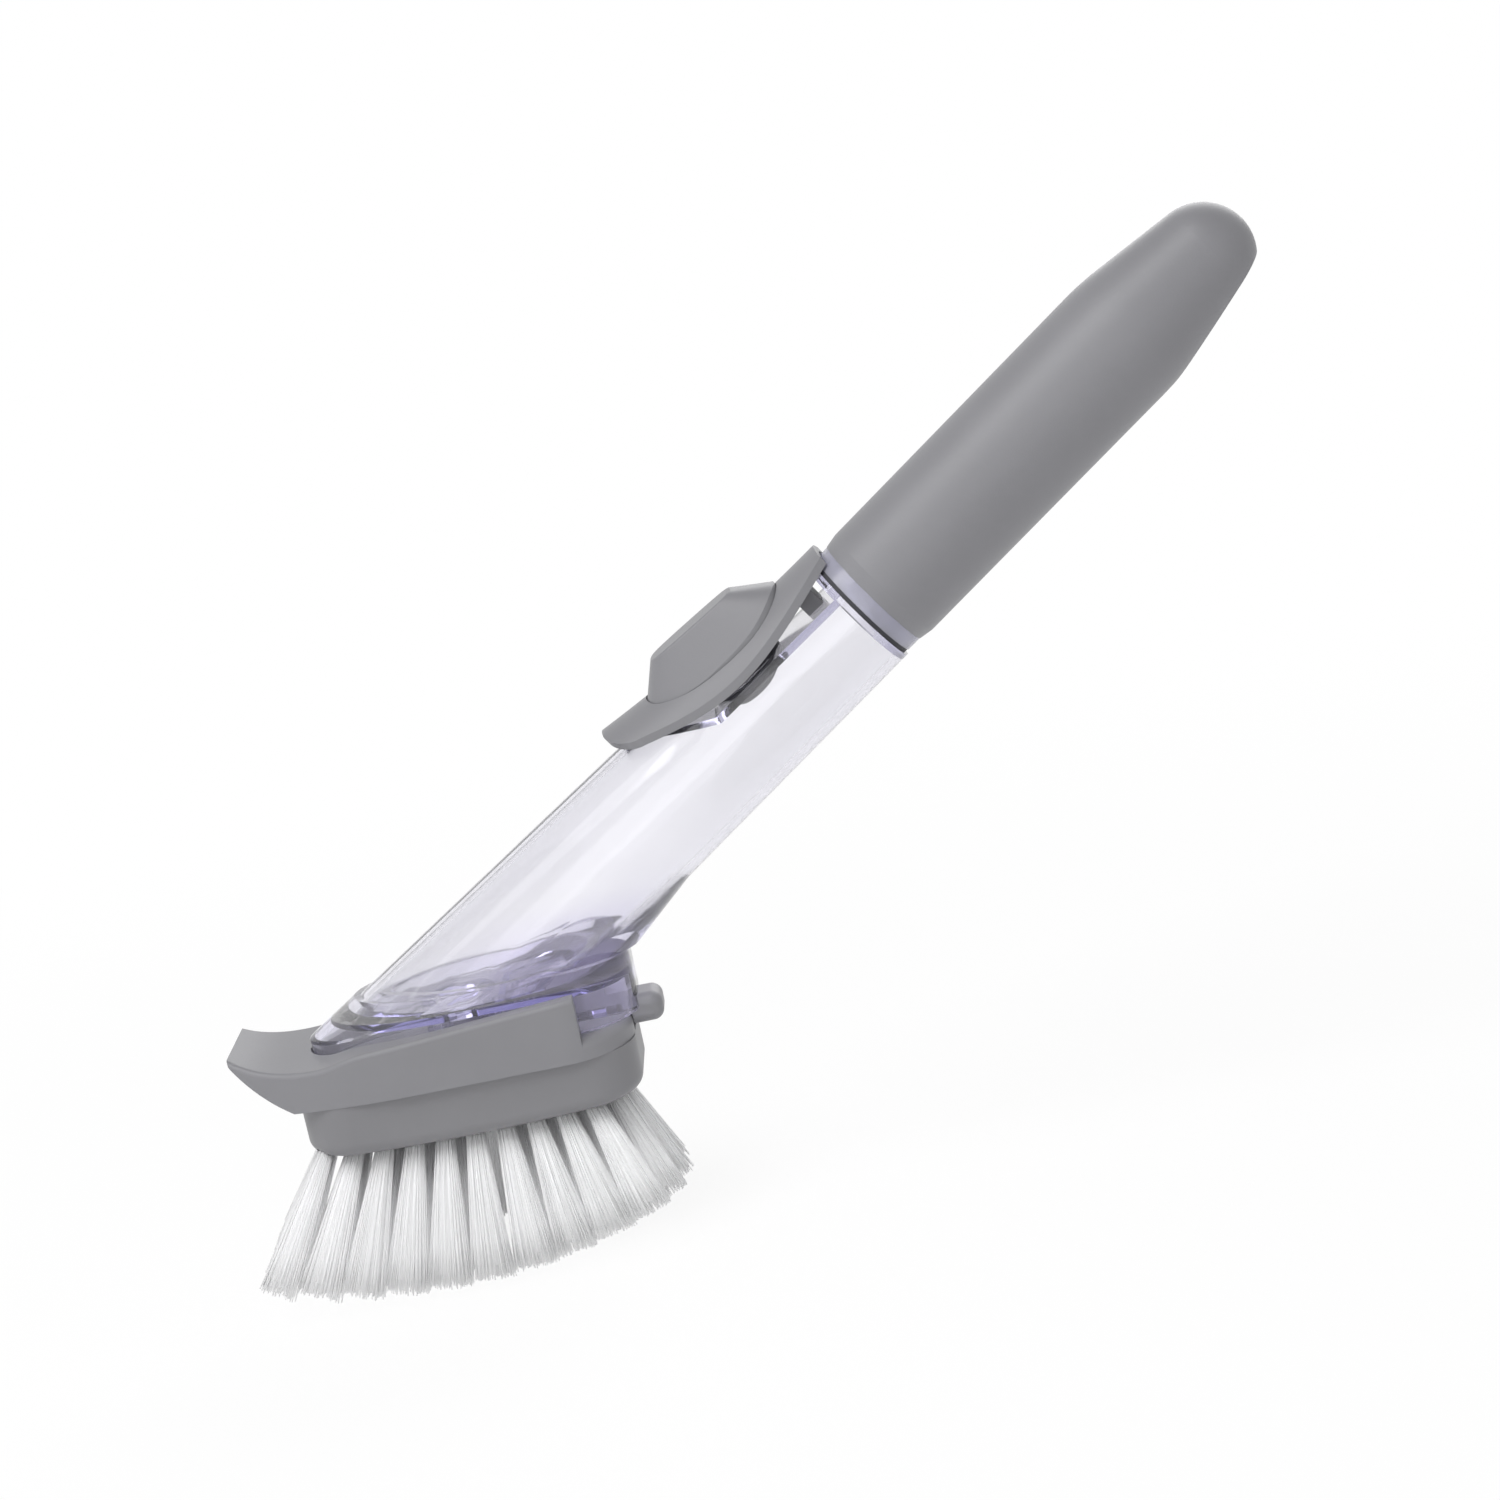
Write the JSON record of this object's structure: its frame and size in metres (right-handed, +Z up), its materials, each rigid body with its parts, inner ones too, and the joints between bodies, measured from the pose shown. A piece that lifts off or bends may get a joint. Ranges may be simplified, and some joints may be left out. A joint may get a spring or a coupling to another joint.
{
  "type": "soap dispensing dish wand",
  "caption": "Dish wand with a clear slanted soap tank, push-button pump, screw-off grip with a hang hole and a clip-on scrubbing head with scraper nose and white bristles.",
  "frame": {"origin": "under the middle of the whole wand, on the surface that the bristle tips touch", "axes": "+X from the scraper nose towards the grip's tip, +Z up, +Y across the head, away from the viewer"},
  "size_m": [0.244, 0.0496, 0.1894],
  "materials": {
    "grey_plastic": "fine satin moulding",
    "clear_plastic": "clear polished moulding",
    "white_nylon": "satin filament",
    "dark_rubber": "soft matt",
    "pale_silicone": "soft satin",
    "bright_steel": "drawn wire"
  },
  "bodies": {
    "tank": {"reservoir_tank": "clear_plastic", "tank_base": "clear_plastic", "outlet_valve": "pale_silicone", "valve_retainer": "clear_plastic", "pump_frame": "grey_plastic", "pump_diaphragm": "dark_rubber", "release_spring": "bright_steel"},
    "pump": {"pump_button": "grey_plastic"},
    "release": {"release_button": "grey_plastic"},
    "gasket": {"neck_gasket": "dark_rubber"},
    "handle": {"handle_grip": "grey_plastic", "handle_core": "clear_plastic"},
    "head": {"brush_shoe": "grey_plastic", "bristle_plate": "grey_plastic", "bristle_tufts": "white_nylon", "tuft_anchors": "bright_steel", "catch_hook": "grey_plastic"}
  },
  "joints": [
    {"name": "pump_press", "type": "slide", "parent": "tank", "child": "pump", "axis": [0.5519, 0, -0.8339], "range_m": [0, 0.004], "stiffness_N_per_m": 1200, "deforming": ["pump_diaphragm"]},
    {"name": "release_press", "type": "slide", "parent": "tank", "child": "release", "axis": [-1, 0, 0], "range_m": [0, 0.003], "stiffness_N_per_m": 1000, "deforming": ["release_spring"]},
    {"name": "handle_lift", "type": "slide", "parent": "tank", "child": "gasket", "axis": [0.8231, 0, 0.5678], "range_m": [0, 0.0101]},
    {"name": "handle_unscrew", "type": "hinge", "parent": "gasket", "child": "handle", "pos_m": [0.03323, 0, 0.12472], "axis": [0.8231, 0, 0.5678], "range_deg": [0, 720]},
    {"name": "head_release", "type": "slide", "parent": "head", "child": "tank", "axis": [0, 0, 1], "range_m": [0, 0.025]}
  ],
  "couplings": [
    {"joint": "handle_lift", "follows": "handle_unscrew", "m_per_rad": 0.00079577}
  ]
}
